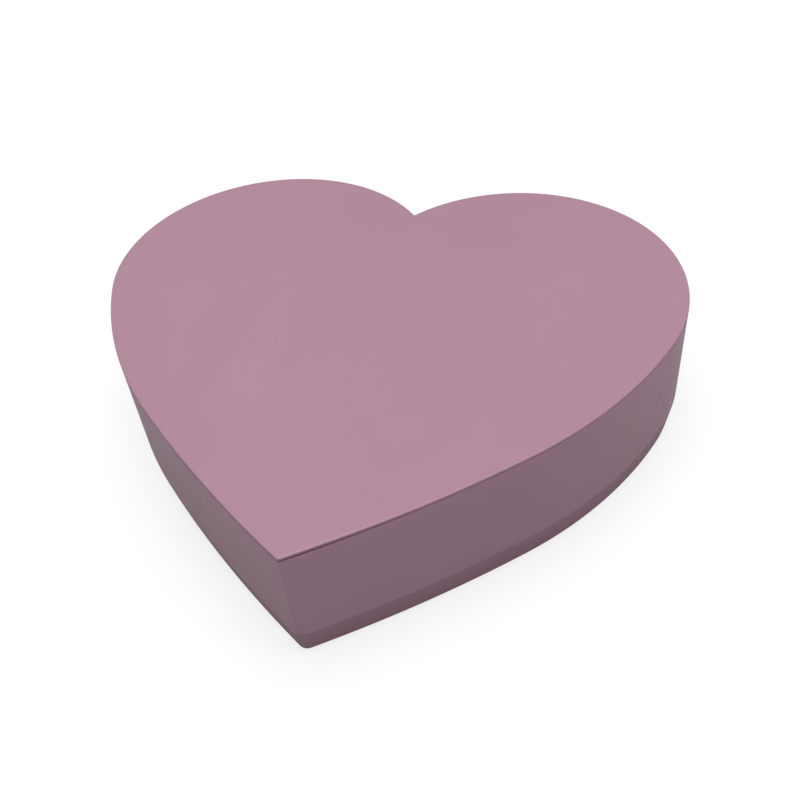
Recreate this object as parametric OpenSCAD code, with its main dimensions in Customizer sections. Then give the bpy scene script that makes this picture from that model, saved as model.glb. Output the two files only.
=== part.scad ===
// Heart-shaped wind up music box: lacquered case, hinged lid, jewellery compartment and
// an 18-note movement wound by a key in a recess under the base.
// Plan outline: three tangent arcs on each side, from the notch at the back to the tip at the front.

/* [Outline] */
// Radius of each lobe of the heart
lobe_r = 50; // [48:0.5:56]
// Distance of a lobe's centre from the middle line
lobe_x = 37.9; // [37:0.1:39]
// Radius of the side arc below the lobe
side_r = 127.5; // [122:0.5:135]
// Radius of the long flat arc that runs to the tip
flank_r = 431.5; // [420:0.5:445]
// Direction, below the X axis, at which the lobe becomes the side arc
side_dir = 20.6; // [19.5:0.1:21.5]
// Direction, below the X axis, at which the side arc becomes the flank
flank_dir = 47.2; // [46.5:0.1:48]

/* [Case] */
// Height of the closed box
box_h = 41.3; // [41:0.1:43]
// Thickness of the side wall
wall_t = 5; // [4.5:0.1:5.5]
// Height of the tapered plinth band
plinth_h = 8.6; // [7:0.1:9.5]
// How far the plinth's foot stands in from the wall
plinth_taper = 1.3; // [0.5:0.05:2]
// Radius of the plinth's rounded tip, in plan, at its top
plinth_tip_r = 4; // [3:0.5:6]
// Height of the key recess under the base board
recess_h = 11; // [11:0.1:11.2]
// Thickness of the base board
base_t = 3; // [2.5:0.5:3]

/* [Lid] */
// Thickness of the lid's top panel
panel_t = 0.8; // [0.7:0.1:1]
// Gap between the closed panel and the top of the wall
seam_gap = 0.7; // [0.5:0.05:0.9]
// Largest opening angle of the lid
lid_open = 95; // [85:1:95]
// Angle at which the lid is drawn
lid_angle = 0; // [0:1:95]

/* [Movement] */
// Number of teeth on the comb
comb_teeth = 18; // [16:1:18]
// Radius of the pinned cylinder
cyl_r = 6; // [5.8:0.1:6]
// Length of the pinned cylinder
cyl_len = 21; // [20.5:0.5:21]
// Height of a pin above the cylinder
pin_h = 0.8; // [0.5:0.1:0.8]
// Width of the winding key across its wings
key_w = 22; // [18:1:24]

/* [Hidden] */
$fn = 64;
eps = 0.01;

// Arc centres of the right-hand half
lobe_c = [lobe_x, 0];
side_c = lobe_c - (side_r - lobe_r) * [cos(side_dir), -sin(side_dir)];
flank_c = side_c - (flank_r - side_r) * [cos(flank_dir), -sin(flank_dir)];

// Heights
panel_z = box_h - panel_t;
wall_top = panel_z - seam_gap;
base_top = recess_h + base_t;
lining_t = 0.8;
plinth_w = 9;
cover_z = base_top + 21.4;
cover_t = 1.5;
lid_lining_z = cover_z + cover_t + 0.4;
lid_lining_t = 0.7;
lid_board_z = lid_lining_z + lid_lining_t;
lid_board_inset = 6;
mirror_t = 1.4;
mirror_k = 0.77;
mirror_y = -4.5;
mirror_tip_r = 2;
mirror_lip = 2;
divider_t = 3;
divider_x = 10;
divider_y = -39;
base_screw_dirs = [-75, 0, 36, 53];
base_screw_inset = 1.5;
cover_block_dirs = [-100, -30, 22];
cover_block_inset = 4;
cover_block_r = 4.5;
rest_pad_dirs = [20, 38, 54];
rest_pad_r = 1.6;
key_top = recess_h - 0.8;

// Hinges: one on the rearmost line of each lobe
hinge_r = 1.5;
hinge_w = 16;
hinge_pin_r = 0.5;
leaf_t = 0.7;
hinge_y = lobe_r - leaf_t + hinge_r;
hinge_z = box_h - 3;
knuckle_w = 5.8;
knuckle_gap = 0.2;
leaf_drop = 8;
leaf_reach = 11.8;
crank_t = 0.45;

// The row's origin: middle of the whole box's plan, on the table
rear_y = hinge_y + hinge_r;
shift_y = -(rear_y + tip_y(0)) / 2;

// Movement, in its own frame: X along the cylinder, Z up from the base board
move_x = 44;
move_y = 2;
boss_h = 1;
bed_t = 2;
bed_top = boss_h + bed_t;
cyl_y = 2;
cyl_z = 10.3;
cyl_x0 = -5;
arbor_r = 0.8;
run_fit = 0.05;
spring_x = -17;
wind_r = 1.5;
gear_m = 0.4;
crown_n = 40;
crown_r = gear_m * crown_n / 2;
crown_w = 1.2;
pinion_n = 8;
pinion_r = gear_m * pinion_n / 2;
crown_disc_z = cyl_z + pinion_r + 0.55;
crown_disc_t = 0.8;
ratchet_r = 2.6;
ratchet_n = 12;
ratchet_z = 10.6;
ratchet_t = 1.3;
comb_tip_y = cyl_y - cyl_r - pin_h - 0.06;
comb_back_y = -19.8;
bass_len = 11.5;
treble_len = 6.5;
cyl_gear_n = 32;
cyl_gear_x = 16.3;
worm_wheel_n = 24;
idler_y = cyl_y + gear_m * (cyl_gear_n + pinion_n) / 2;
idler_r = 0.6;
worm_x = 18.8;
worm_crest = 1.55;
worm_root = 0.8;
worm_y = idler_y + 6.05;
worm_len = 7.5;
fan_z = 15.7;
fan_h = 3.2;
disc_t = 0.5;
disc_r = 3.9;
fly_r = 0.5;
fly_top = 20.3;
bridge_z = 19.9;
drum_z = 13.5;
drum_top = 20.3;
drum_r = 10.5;
drum_pivot_r = 0.8;
housing_screw_inset = 2.8;
frame_x = 20.4;
stop_offset = 2.9;
bed_holes = [[-22, -16], [21.5, -16], [2, 18]];
comb_screw_xy = [[1, -18], [12.5, -16.5]];
foot_dirs = [100, 180, 260];

// Colours
pink = [0.71, 0.53, 0.62];
pink_dark = [0.50, 0.40, 0.46];
board = [0.80, 0.66, 0.48];
velvet = [0.93, 0.88, 0.86];
brass = [0.84, 0.68, 0.36];
steel = [0.70, 0.71, 0.73];
dark_steel = [0.36, 0.37, 0.40];

// ---------- Outline ----------

// Y of the sharp tip of the outline drawn inset by d, at k times its size
function tip_y(d, k = 1) = k * flank_c[1] - sqrt(pow(k * flank_r - d, 2) - pow(k * flank_c[0], 2));

// A point of the right half outline, inset by d, in the direction a below the X axis
function rim_point(a, d) =
    a < side_dir ? lobe_c + (lobe_r - d) * [cos(a), -sin(a)]
    : a < flank_dir ? side_c + (side_r - d) * [cos(a), -sin(a)]
    : flank_c + (flank_r - d) * [cos(a), -sin(a)];

// Where the line through a centre c, falling at the angle a, meets the middle line
function mid_point(c, a) = [0, c[1] + c[0] * tan(a)];

// Far end of the same line
function far_point(c, a) = c + 600 * [cos(a), -sin(a)];

// One arc of the right half: the disc inside its own zone
module arc_zone(c, r, zone) {
    intersection() {
        translate(c) circle(r, $fn = 360);
        polygon(zone);
    }
}

// Right half of the heart at k times its size, inset by d
module half_heart(d, k) {
    side_mid = mid_point(k * lobe_c, side_dir);
    flank_mid = mid_point(k * side_c, flank_dir);
    side_far = far_point(k * lobe_c, side_dir);
    flank_far = far_point(k * side_c, flank_dir);
    arc_zone(k * lobe_c, k * lobe_r - d, [side_mid, side_far, [600, 200], [0, 200]]);
    arc_zone(k * side_c, k * side_r - d, [flank_mid, flank_far, side_far, side_mid]);
    arc_zone(k * flank_c, k * flank_r - d, [[0, -400], [400, -400], flank_far, flank_mid]);
}

// Whole heart at k times its size, inset by d, with its tip rounded to the radius t
module heart(d = 0, t = 0, k = 1) {
    if (t == 0) {
        full_heart(d, k);
    } else {
        centre_y = tip_y(d + t, k);
        touch = atan2(centre_y - k * flank_c[1], -k * flank_c[0]);
        line_y = centre_y + t * sin(touch);
        intersection() {
            full_heart(d, k);
            translate([-150, line_y]) square([300, 300]);
        }
        intersection() {
            translate([0, centre_y]) circle(t, $fn = 96);
            translate([-20, line_y - 40]) square([40, 40]);
        }
    }
}

// Solid heart of height h, inset by d at its foot and full size at its top, whose tip has the radius t
module tapered_heart(h, d, t) {
    centre_y = tip_y(t);
    touch = atan2(flank_c[1] - centre_y, -flank_c[0]);
    tip_far = far_point([0, centre_y], touch);
    intersection() {
        translate([0, centre_y, 0]) cylinder(h = h, r1 = t - d, r2 = t, $fn = 96);
        slab(0, h) polygon([[0, centre_y], tip_far, [-tip_far[0], tip_far[1]]]);
    }
    for (side = [0, 1]) {
        mirror([side, 0, 0]) half_tapered(h, d, centre_y, tip_far);
    }
}

// Right half of the same: one cone inside each arc's own zone
module half_tapered(h, d, centre_y, tip_far) {
    side_mid = mid_point(lobe_c, side_dir);
    flank_mid = mid_point(side_c, flank_dir);
    side_far = far_point(lobe_c, side_dir);
    flank_far = far_point(side_c, flank_dir);
    cone_zone(h, d, lobe_c, lobe_r, [side_mid, side_far, [600, 200], [0, 200]]);
    cone_zone(h, d, side_c, side_r, [flank_mid, flank_far, side_far, side_mid]);
    cone_zone(h, d, flank_c, flank_r, [[0, centre_y], tip_far, flank_far, flank_mid]);
}

module cone_zone(h, d, c, r, zone) {
    intersection() {
        translate(c) cylinder(h = h, r1 = r - d, r2 = r, $fn = 360);
        slab(0, h) polygon(zone);
    }
}

module full_heart(d, k) {
    half_heart(d, k);
    mirror([1, 0]) half_heart(d, k);
}

// Jewellery compartment's plan, inset by d from its walls
module compartment(d) {
    difference() {
        heart(wall_t + d);
        translate([divider_x - d, divider_y - d]) square([100, 120]);
    }
}

// Movement compartment's plan, with the dividers when d is 0
module movement_bay(d) {
    intersection() {
        heart(wall_t + 0.05 + d);
        translate([divider_x + d, divider_y + d]) square([100, 120]);
    }
}

// Moves a drawn piece from the outline's frame to the row's frame
module place() {
    translate([0, shift_y, 0]) children();
}

// Movement frame to the row's frame
module in_movement() {
    place() translate([move_x, move_y, base_top]) children();
}

// Lid pieces turn about the hinge line
module on_lid() {
    place()
        translate([0, hinge_y, hinge_z])
            rotate([-min(lid_angle, lid_open), 0, 0])
                translate([0, -hinge_y, -hinge_z]) children();
}

module slab(z0, z1) {
    translate([0, 0, z0]) linear_extrude(z1 - z0) children();
}

// Countersunk screw, its flat head up at z = 0
module flat_screw(head_r, shank_r, length) {
    head_h = head_r - shank_r;
    translate([0, 0, -head_h]) cylinder(h = head_h, r1 = shank_r, r2 = head_r);
    translate([0, 0, -length]) cylinder(h = length - head_h + eps, r = shank_r);
}

// Cheese-head screw with a slot, the underside of its head at z = 0
module slot_screw(head_r, head_h, shank_r, length) {
    difference() {
        cylinder(h = head_h, r = head_r);
        translate([-head_r, -head_r / 8, head_h * 0.6]) cube([2 * head_r, head_r / 4, head_h]);
    }
    translate([0, 0, -length]) cylinder(h = length + eps, r = shank_r);
}

// ---------- Case ----------

module at_base_screws() {
    for (side = [0, 1]) {
        mirror([side, 0, 0]) {
            for (a = base_screw_dirs) {
                translate(rim_point(a, wall_t + base_screw_inset)) children();
            }
        }
    }
}

// Tapered plinth band with a rounded tip, and an inner lip that carries the base board
module plinth_rim() {
    color(pink_dark) place() difference() {
        union() {
            tapered_heart(plinth_h, plinth_taper, plinth_tip_r);
            slab(plinth_h - eps, recess_h) heart(wall_t + 0.1);
        }
        slab(-1, recess_h + 1) heart(plinth_w);
        at_base_screws() translate([0, 0, -1]) cylinder(h = 5, r = 2);
        at_base_screws() cylinder(h = recess_h + 1, r = 1.1);
    }
}

// Side wall, pocketed at the back for the two hinges
module side_wall() {
    color(pink) place() difference() {
        slab(plinth_h, wall_top) heart(0);
        slab(plinth_h - 1, wall_top + 1) heart(wall_t);
        for (side = [-1, 1]) {
            translate([side * lobe_x, 0, 0]) hinge_pocket();
        }
    }
}

module hinge_pocket() {
    half_w = hinge_w / 2 + 0.3;
    translate([-half_w, lobe_r - leaf_t, hinge_z - leaf_drop - 0.2])
        cube([2 * half_w, 5, leaf_drop + 5]);
    translate([-half_w, hinge_y - hinge_r - 0.3, hinge_z - hinge_r - 0.3])
        cube([2 * half_w, 5, 10]);
    translate([-half_w, lobe_r - wall_t - 1, wall_top - 0.3])
        cube([2 * half_w, 10, 5]);
}

module base_board() {
    color(board) place() difference() {
        slab(recess_h, base_top) heart(wall_t + 0.05);
        translate([move_x + spring_x, move_y + cyl_y, 0]) cylinder(h = 20, r = 2.3);
        for (p = bed_holes) {
            translate([move_x + p[0], move_y + p[1], 0]) cylinder(h = 20, r = 1.6);
        }
        at_base_screws() cylinder(h = base_top - 0.7, r = 0.8);
    }
}

// Wood screws up through the plinth's lip into the base board
module base_screws() {
    color(steel) place() at_base_screws() {
        translate([0, 0, 4]) rotate([180, 0, 0]) slot_screw(1.8, 1.2, 0.8, base_top - 5);
    }
}

module long_divider() {
    color(board) place() slab(base_top, cover_z) intersection() {
        movement_bay(0);
        translate([divider_x, divider_y]) square([divider_t, 120]);
    }
}

module cross_divider() {
    color(board) place() slab(base_top, cover_z) intersection() {
        movement_bay(0);
        translate([divider_x + divider_t, divider_y]) square([100, divider_t]);
    }
}

// Velvet-covered card round the inside of the jewellery compartment
module wall_lining() {
    color(velvet) place() slab(base_top, lid_lining_z - 0.4) difference() {
        compartment(0.05);
        compartment(lining_t);
    }
}

module floor_pad() {
    color(velvet) place() slab(base_top, base_top + 4) compartment(lining_t + 0.4);
}

// Places of the corner blocks glued to the wall, which carry the movement's clear cover
module at_cover_blocks() {
    for (a = cover_block_dirs) {
        translate(rim_point(a, wall_t + cover_block_inset)) children();
    }
}

module cover_blocks() {
    color(board) place() difference() {
        slab(cover_z - 6, cover_z) intersection() {
            movement_bay(0);
            at_cover_blocks() circle(cover_block_r);
        }
        at_cover_blocks() translate([0, 0, cover_z - 4]) cylinder(h = 10, r = 0.7);
    }
}

module movement_cover() {
    color([0.85, 0.92, 0.95, 0.35]) place() difference() {
        slab(cover_z, cover_z + cover_t) intersection() {
            movement_bay(0.4);
            heart(wall_t + lining_t);
        }
        at_cover_blocks() translate([0, 0, cover_z - 1]) cylinder(h = 5, r = 0.9);
        at_cover_blocks() translate([0, 0, cover_z + cover_t - 0.8])
            cylinder(h = 0.8 + eps, r1 = 0.9, r2 = 1.7);
        translate([move_x + worm_x, move_y + worm_y + stop_offset, cover_z - 1])
            cylinder(h = 5, r = 0.75 + run_fit);
    }
}

module cover_screws() {
    color(brass) place() at_cover_blocks() translate([0, 0, cover_z + cover_t])
        flat_screw(1.5, 0.7, 5);
}

// Felt dots on the wall's top, on which the closed lid rests
module lid_rest_pads() {
    color(velvet) place() for (side = [0, 1]) {
        mirror([side, 0, 0]) {
            for (a = rest_pad_dirs) {
                translate(rim_point(a, wall_t / 2)) translate([0, 0, wall_top])
                    cylinder(h = seam_gap - 0.05, r = rest_pad_r, $fn = 32);
            }
        }
    }
}

// ---------- Hinges ----------

module knuckle(x0, x1, bore) {
    translate([x0, hinge_y, hinge_z]) rotate([0, 90, 0]) difference() {
        cylinder(h = x1 - x0, r = hinge_r);
        translate([0, 0, -1]) cylinder(h = x1 - x0 + 2, r = bore);
    }
}

// Flat leaf let into the back of the wall, with the two outer knuckles
module case_leaf() {
    half_w = hinge_w / 2;
    inner = knuckle_w / 2 + knuckle_gap;
    difference() {
        union() {
            translate([-half_w, lobe_r - leaf_t, hinge_z - leaf_drop])
                cube([hinge_w, leaf_t, leaf_drop - hinge_r - 0.4]);
            for (side = [-1, 1]) {
                translate([side > 0 ? inner : -half_w, lobe_r - leaf_t, hinge_z - hinge_r - 0.5])
                    cube([half_w - inner, leaf_t, hinge_r + 0.5]);
            }
            knuckle(-half_w, -inner, hinge_pin_r);
            knuckle(inner, half_w, hinge_pin_r);
        }
        at_leaf_screws() cylinder(h = 3, r = 0.65);
        translate([-half_w - 1, hinge_y, hinge_z]) rotate([0, 90, 0])
            cylinder(h = hinge_w + 2, r = hinge_pin_r);
    }
}

// Frames on the case leaf's two screws: Z out of the wall
module at_leaf_screws() {
    for (side = [-1, 1]) {
        translate([side * hinge_w / 3, lobe_r - leaf_t - 1, hinge_z - leaf_drop + 2.5])
            rotate([-90, 0, 0]) children();
    }
}

// Cranked leaf: centre knuckle, a strip up behind the wall and a plate under the lid's panel
module lid_leaf() {
    half_w = hinge_w / 2;
    half_k = knuckle_w / 2;
    strip_y = hinge_y - 1.1;
    difference() {
        union() {
            knuckle(-half_k, half_k, hinge_pin_r + run_fit);
            translate([-half_k, strip_y, hinge_z]) cube([knuckle_w, leaf_t, panel_z - hinge_z]);
            translate([-half_k, lobe_r - leaf_reach, panel_z - crank_t])
                cube([knuckle_w, strip_y + leaf_t - lobe_r + leaf_reach, crank_t]);
            translate([0, 0, panel_z - crank_t]) intersection() {
                cylinder(h = crank_t, r = lobe_r - 0.4);
                translate([-half_w, lobe_r - leaf_reach, 0]) cube([hinge_w, leaf_reach, crank_t]);
            }
        }
        translate([-half_w, hinge_y, hinge_z]) rotate([0, 90, 0])
            cylinder(h = hinge_w, r = hinge_pin_r + run_fit);
        at_lid_leaf_screws() translate([0, 0, -1]) cylinder(h = 3, r = 0.9);
    }
}

module at_lid_leaf_screws() {
    for (side = [-1, 1]) {
        translate([side * hinge_w / 3, lobe_r - wall_t - 4, panel_z - crank_t]) children();
    }
}

module hinge_pin() {
    half_w = hinge_w / 2;
    translate([-half_w, hinge_y, hinge_z]) rotate([0, 90, 0]) {
        cylinder(h = hinge_w, r = hinge_pin_r);
        translate([0, 0, -0.4]) cylinder(h = 0.4, r = 0.9);
        translate([0, 0, hinge_w]) cylinder(h = 0.4, r = 0.9);
    }
}

module on_lobe(side) {
    translate([side * lobe_x, 0, 0]) children();
}

module left_case_leaf() {
    color(brass) place() on_lobe(-1) case_leaf();
}

module right_case_leaf() {
    color(brass) place() on_lobe(1) case_leaf();
}

module left_hinge_pin() {
    color(steel) place() on_lobe(-1) hinge_pin();
}

module right_hinge_pin() {
    color(steel) place() on_lobe(1) hinge_pin();
}

module left_lid_leaf() {
    color(brass) on_lid() on_lobe(-1) lid_leaf();
}

module right_lid_leaf() {
    color(brass) on_lid() on_lobe(1) lid_leaf();
}

module case_leaf_screws() {
    color(brass) place() for (side = [-1, 1]) {
        on_lobe(side) at_leaf_screws() translate([0, 0, 1 + leaf_t]) {
            cylinder(h = 0.4, r1 = 1.2, r2 = 0.8);
            translate([0, 0, -4]) cylinder(h = 4 + eps, r = 0.65);
        }
    }
}

// Screws through the cranked plate, down into the lid's inner board
module lid_leaf_screws() {
    color(brass) on_lid() for (side = [-1, 1]) {
        on_lobe(side) at_lid_leaf_screws() {
            translate([0, 0, -1.6]) cylinder(h = 1.6 + crank_t, r = 0.65);
            cylinder(h = crank_t, r = 0.9);
        }
    }
}

// ---------- Lid ----------

// Mirror's outline: a smaller heart set between the lobes and the tip, inset by d
module mirror_heart(d) {
    translate([0, mirror_y]) heart(d, mirror_tip_r, mirror_k);
}

// Thin top panel, flush with the wall
module lid_panel() {
    color(pink) on_lid() slab(panel_z, box_h) heart(0);
}

// Inner board that drops inside the wall; recessed for the mirror and the hinge plates
module lid_board() {
    color(board) on_lid() difference() {
        slab(lid_board_z, panel_z) heart(lid_board_inset);
        slab(lid_board_z - 1, lid_board_z + mirror_t) mirror_heart(0);
        for (side = [-1, 1]) {
            on_lobe(side) {
                translate([-hinge_w / 2 - 0.2, 37, panel_z - crank_t]) cube([hinge_w + 0.4, 10, 5]);
                at_lid_leaf_screws() translate([0, 0, -1.6]) cylinder(h = 4, r = 0.65);
            }
        }
    }
}

module lid_mirror() {
    color([0.85, 0.88, 0.90]) on_lid()
        slab(lid_board_z, lid_board_z + mirror_t) mirror_heart(0.25);
}

// Velvet-covered card frame that holds the mirror in its recess
module lid_lining() {
    color(velvet) on_lid() slab(lid_lining_z, lid_board_z) difference() {
        heart(lid_board_inset + 0.3);
        mirror_heart(mirror_lip);
    }
}

// ---------- Winding ----------

module at_spring() {
    translate([spring_x, cyl_y, 0]) children();
}

module key_plate() {
    color(brass) in_movement() at_spring() translate([0, 0, -base_t - 0.6]) difference() {
        cylinder(h = 0.6, r = 6);
        translate([0, 0, -1]) cylinder(h = 3, r = 2.3);
    }
}

// Two-winged key on the lower end of the winding arbor
module winding_key() {
    hub_r = 3;
    hub_z = key_top - base_top;
    hub_h = 8;
    wing_h = 7.5;
    wing_t = 1.6;
    color(brass) in_movement() at_spring() difference() {
        union() {
            translate([0, 0, hub_z - hub_h]) cylinder(h = hub_h, r = hub_r);
            rotate([90, 0, 90]) translate([0, hub_z - hub_h - 0.8, -wing_t / 2])
                linear_extrude(wing_t) wing_outline(wing_h);
        }
        translate([0, 0, hub_z - hub_h + 1.2]) cylinder(h = 20, r = wind_r);
    }
}

module wing_outline(h) {
    end_r = h / 2;
    square_w = key_w - 2 * end_r;
    translate([-square_w / 2, 0]) square([square_w, h]);
    for (side = [-1, 1]) {
        translate([side * square_w / 2, end_r]) circle(end_r);
    }
}

module winding_arbor() {
    key_seat = key_top - base_top - 3.8;
    color(steel) in_movement() at_spring() {
        translate([0, 0, key_seat]) cylinder(h = drum_top - 0.9 - key_seat, r = wind_r);
        translate([0, 0, drum_top - 0.9 - eps]) cylinder(h = 1.2, r = drum_pivot_r);
    }
}

module ratchet_wheel() {
    color(steel) in_movement() at_spring() translate([0, 0, ratchet_z]) difference() {
        linear_extrude(ratchet_t) polygon([
            for (i = [0:ratchet_n - 1])
                for (s = [0, 1])
                    (ratchet_r - 0.5 * s) * [cos(360 * (i + 0.15 * s) / ratchet_n),
                                             sin(360 * (i + 0.15 * s) / ratchet_n)]
        ]);
        translate([0, 0, -1]) cylinder(h = 4, r = wind_r);
    }
}

// Contrate gear: teeth hang from the rim and drive the cylinder's pinion from above
module great_wheel() {
    pitch = PI * gear_m;
    tooth_h = 0.95;
    color(brass) in_movement() at_spring() difference() {
        union() {
            translate([0, 0, crown_disc_z]) cylinder(h = crown_disc_t, r = crown_r + 0.8);
            for (i = [0:crown_n - 1]) {
                rotate(360 * (i + 0.5) / crown_n) translate([crown_r - crown_w / 2, 0, crown_disc_z])
                    rotate([90, 0, 90]) linear_extrude(crown_w) polygon([
                        [-0.26 * pitch, eps], [-0.10 * pitch, -tooth_h],
                        [0.10 * pitch, -tooth_h], [0.26 * pitch, eps]
                    ]);
            }
        }
        translate([0, 0, crown_disc_z - 1]) cylinder(h = 5, r = wind_r + run_fit);
    }
}

// Leaf under the great wheel whose tip stands just off the ratchet's teeth
module click_spring() {
    leaf = 0.3;
    color(steel) in_movement() at_spring() {
        translate([3.6, -1, crown_disc_z - 1.6]) cylinder(h = 1.6, r = 0.5, $fn = 24);
        translate([0, 0, ratchet_z + 0.2]) linear_extrude(0.9) difference() {
            intersection() {
                translate([0.55, 0]) circle(ratchet_r + 0.95);
                translate([0, -1.4]) square([6, 3.4]);
            }
            translate([0.55, 0]) circle(ratchet_r + 0.95 - leaf);
            circle(ratchet_r + 0.1);
        }
    }
}

// ---------- Movement frame ----------

module bedplate() {
    color([0.80, 0.70, 0.45]) in_movement() difference() {
        union() {
            slab(boss_h, bed_top) {
                translate([-24, -20.5]) square([49, 41.5]);
                at_spring() circle(11.2);
            }
            for (p = bed_holes) {
                translate(p) cylinder(h = bed_top, r = 3);
            }
            slab(bed_top - eps, cyl_z - 0.5) comb_body(0.6);
        }
        at_spring() cylinder(h = 40, r = wind_r + run_fit, center = true);
        for (p = bed_holes) {
            translate([p[0], p[1], -1]) cylinder(h = 10, r = 1.25);
        }
        for (p = comb_screw_xy) {
            translate([p[0], p[1], cyl_z - 5]) cylinder(h = 10, r = 0.8);
        }
    }
}

module movement_screws() {
    color(steel) in_movement() for (p = bed_holes) {
        translate([p[0], p[1], -base_t]) rotate([180, 0, 0]) slot_screw(2.6, 1.6, 1.25, base_t + 2.5);
    }
}

// Solid back part of the comb: its front edge slants from the long teeth to the short ones
module comb_body(trim = 0) {
    polygon([
        [cyl_x0 - 0.4, comb_back_y], [cyl_x0 + cyl_len + 0.4, comb_back_y],
        [cyl_x0 + cyl_len + 0.4, comb_tip_y - treble_len - trim],
        [cyl_x0 - 0.4, comb_tip_y - bass_len - trim]
    ]);
}

function track_x(i) = cyl_x0 + 1 + i * (cyl_len - 2) / (comb_teeth - 1);

module comb() {
    tooth_w = 0.75;
    plate_t = 1;
    color(steel) in_movement() difference() {
        union() {
            slab(cyl_z - 0.5, cyl_z - 0.5 + plate_t) comb_body();
            for (i = [0:comb_teeth - 1]) {
                span = bass_len + (treble_len - bass_len) * i / (comb_teeth - 1);
                translate([track_x(i) - tooth_w / 2, comb_tip_y - span - 0.6, cyl_z - 0.2])
                    cube([tooth_w, span + 0.6, 0.4]);
                if (i < comb_teeth / 2) {
                    translate([track_x(i) - tooth_w / 2, comb_tip_y - 4, cyl_z - 1.6])
                        cube([tooth_w, 2.6 - i * 0.2, 1.5]);
                }
            }
        }
        for (p = comb_screw_xy) {
            translate([p[0], p[1], 0]) cylinder(h = 20, r = 1);
        }
    }
}

module comb_screws() {
    color(dark_steel) in_movement() for (p = comb_screw_xy) {
        translate([p[0], p[1], cyl_z + 0.5]) slot_screw(1.6, 1.2, 0.8, 4);
    }
}

// Stationary drum over the great wheel, on three legs
module spring_housing() {
    shell = 0.7;
    color(steel) in_movement() at_spring() difference() {
        union() {
            translate([0, 0, drum_z]) cylinder(h = drum_top - drum_z, r = drum_r);
            for (a = foot_dirs) {
                rotate(a) {
                    translate([drum_r - 1, -1.5, bed_top]) cube([0.9, 3, drum_z - bed_top + eps]);
                    translate([drum_r - 4, -1.5, bed_top]) cube([3.5, 3, 0.8]);
                }
            }
        }
        translate([0, 0, drum_z - 1]) cylinder(h = drum_top - drum_z + 1 - shell, r = drum_r - shell);
        cylinder(h = 40, r = drum_pivot_r + run_fit);
        for (a = foot_dirs) {
            rotate(a) translate([drum_r - housing_screw_inset, 0, 0]) cylinder(h = bed_top + 1.5, r = 0.6);
        }
    }
}

module housing_screws() {
    color(dark_steel) in_movement() at_spring() for (a = foot_dirs) {
        rotate(a) translate([drum_r - housing_screw_inset, 0, bed_top + 0.8]) slot_screw(1.1, 0.8, 0.6, 0.8);
    }
}

// Flat spiral spring between the arbor and the drum
module mainspring() {
    turns = 5;
    steps = 26;
    strip = 0.35;
    r0 = 2.2;
    r1 = drum_r - 1.2;
    function coil(i, off) = (r0 + off + (r1 - r0) * i / (turns * steps))
        * [cos(360 * i / steps), sin(360 * i / steps)];
    color(dark_steel) in_movement() at_spring() translate([0, 0, drum_z + 0.3])
        linear_extrude(drum_top - drum_z - 1.6) polygon(concat(
            [for (i = [0:turns * steps]) coil(i, 0)],
            [for (i = [turns * steps:-1:0]) coil(i, strip)]
        ));
}

// ---------- Gears ----------

// Spur gear outline: n teeth, each wide parts of a pitch at the pitch circle
module gear_outline(n, thick = 0.42, tip = 0.16) {
    r = gear_m * n / 2;
    root = r - 1.15 * gear_m;
    outer = r + 0.9 * gear_m;
    half_angles = [-thick / 2 - 0.09, -thick / 2, -tip / 2, tip / 2, thick / 2, thick / 2 + 0.09];
    radii = [root, r, outer, outer, r, root];
    polygon([
        for (i = [0:n - 1])
            for (k = [0:5])
                radii[k] * [cos(360 * (i + half_angles[k]) / n), sin(360 * (i + half_angles[k]) / n)]
    ]);
}

// Turns a gear drawn in XY so that its axis lies along +X, its first tooth pointing along +Y
module along_x() {
    rotate([90, 0, 90]) children();
}

module at_cylinder(x) {
    translate([x, cyl_y, cyl_z]) along_x() children();
}

module at_idler(x) {
    translate([x, idler_y, cyl_z]) along_x() children();
}

module cylinder_sleeve() {
    color(brass) in_movement() at_cylinder(cyl_x0) difference() {
        cylinder(h = cyl_len, r = cyl_r);
        translate([0, 0, 0.8]) cylinder(h = cyl_len - 1.6, r = cyl_r - 0.6);
        translate([0, 0, -1]) cylinder(h = cyl_len + 2, r = arbor_r);
    }
}

// Tune pins: every note's track has its own rhythm, and a rest before the tune repeats
module cylinder_pins() {
    beats = 40;
    color(steel) in_movement() at_cylinder(0) {
        for (i = [0:comb_teeth - 1]) {
            for (k = [1:beats - 3]) {
                if ((k * 7 + i * 5 + floor(k * i / 6)) % 13 == 0) {
                    rotate(180 + 360 * (k + 0.5) / beats)
                        translate([cyl_r - 0.2, 0, track_x(i)]) rotate([0, 90, 0])
                            cylinder(h = pin_h + 0.2, r = 0.2, $fn = 16);
                }
            }
        }
    }
}

module cylinder_arbor() {
    x0 = -12;
    color(steel) in_movement() at_cylinder(x0) cylinder(h = frame_x + 1 - x0, r = arbor_r);
}

module cylinder_pinion() {
    color(brass) in_movement() at_cylinder(spring_x + crown_r - crown_w / 2) difference() {
        linear_extrude(crown_w) rotate(90) gear_outline(pinion_n, 0.36, 0.14);
        translate([0, 0, -1]) cylinder(h = 5, r = arbor_r);
    }
}

module cylinder_gear() {
    color(brass) in_movement() at_cylinder(cyl_gear_x) difference() {
        linear_extrude(1.2) gear_outline(cyl_gear_n, 0.40);
        translate([0, 0, -1]) cylinder(h = 5, r = arbor_r);
    }
}

// Post inside the ring of the great wheel's teeth, for the cylinder's left-hand end
module bearing_post() {
    color(brass) in_movement() difference() {
        translate([-12, cyl_y - 1.6, bed_top]) cube([1.2, 3.2, cyl_z - bed_top + 1.5]);
        at_cylinder(-15) cylinder(h = 6, r = arbor_r + run_fit);
    }
}

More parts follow.
